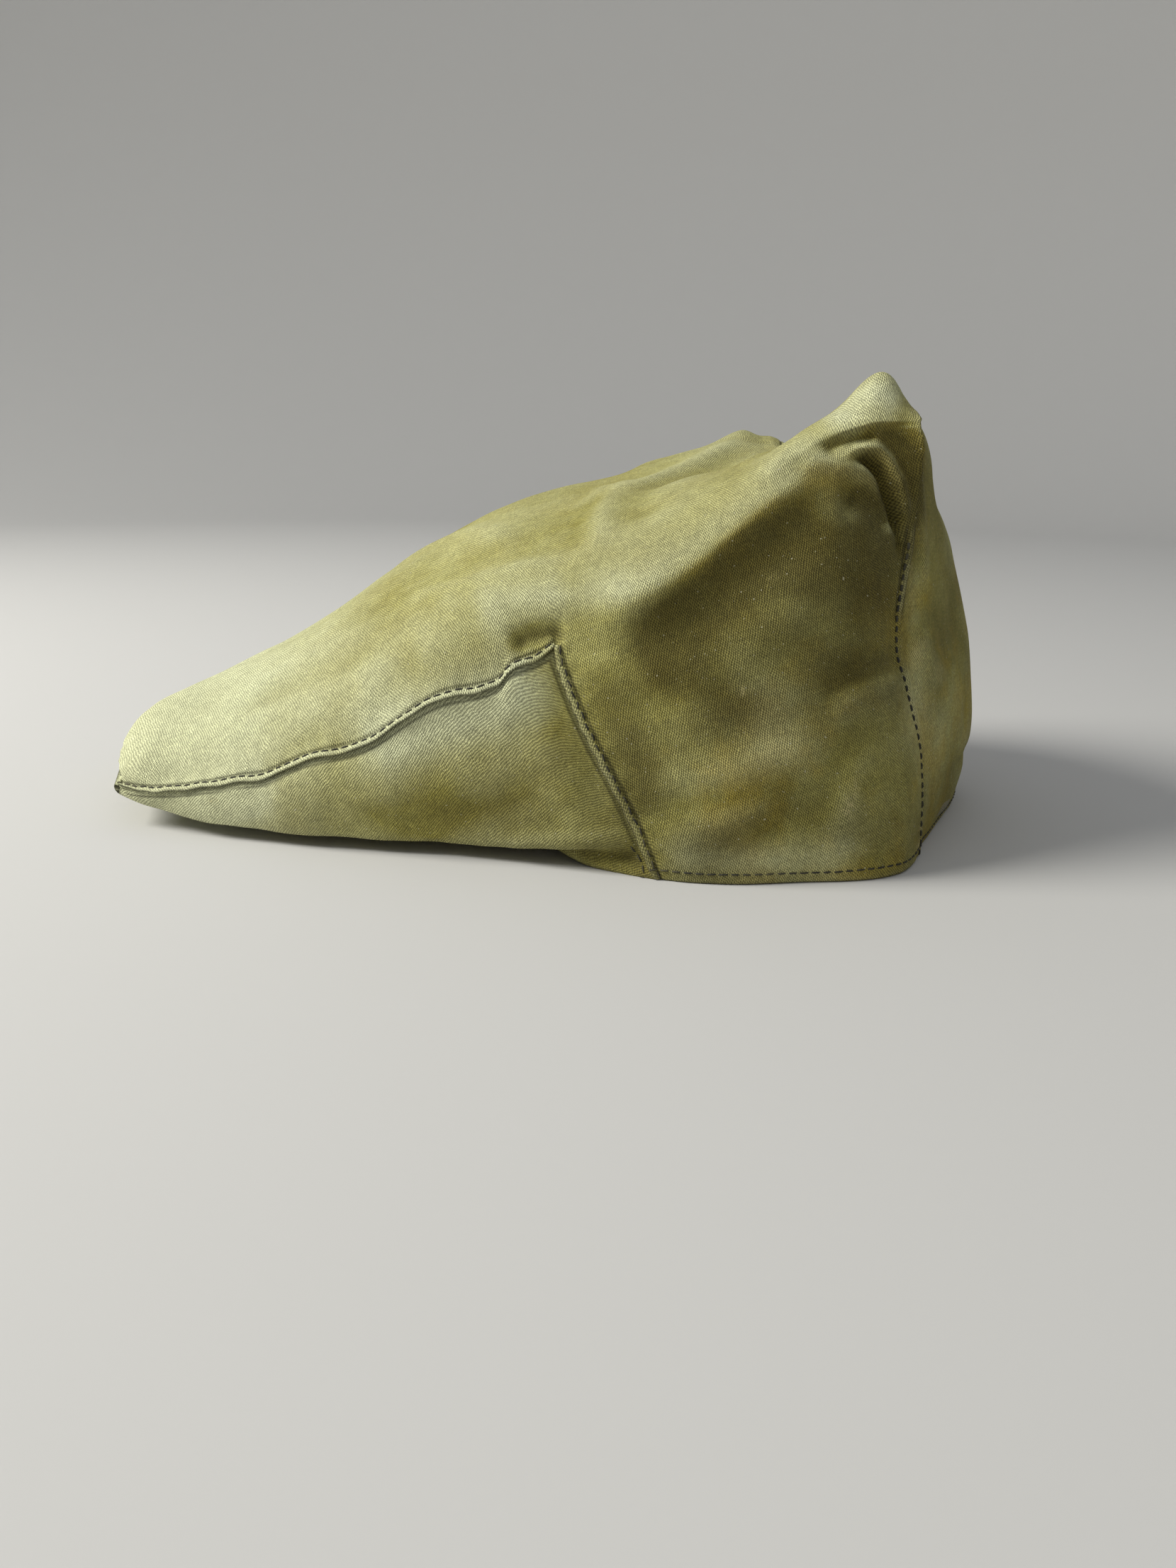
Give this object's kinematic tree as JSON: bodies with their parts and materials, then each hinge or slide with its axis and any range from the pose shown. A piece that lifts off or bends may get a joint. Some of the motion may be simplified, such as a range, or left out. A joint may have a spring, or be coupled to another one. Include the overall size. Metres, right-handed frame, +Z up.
{
  "type": "soft canvas work cap",
  "caption": "Soft cotton canvas work cap with a long boxed peak that runs up into the crown, standing on its hem.",
  "frame": {"origin": "on the resting plane, under the middle of the cap's length and width", "axes": "+Z up, +X from the peak's tip towards the back of the head, -Y the wearer's left"},
  "size_m": [0.29, 0.1846, 0.1364],
  "materials": {
    "canvas": "faded olive plain-weave cotton canvas, matt",
    "board": "plain moulded sheet, off-white",
    "band": "cotton twill tape, dull olive",
    "thread": "polyester-cotton sewing thread, dark olive"
  },
  "bodies": {
    "root": {"crown_panel": "canvas", "peak_panel": "canvas", "back_panel": "canvas", "peak_board": "board", "sweatband": "band", "front_edge_stitches": "thread", "left_peak_seam_stitches": "thread", "right_peak_seam_stitches": "thread", "left_side_seam_stitches": "thread", "right_side_seam_stitches": "thread", "left_back_seam_stitches": "thread", "right_back_seam_stitches": "thread", "back_top_seam_stitches": "thread", "hem_stitches": "thread", "opening_edge_stitches": "thread"}
  },
  "joints": []
}
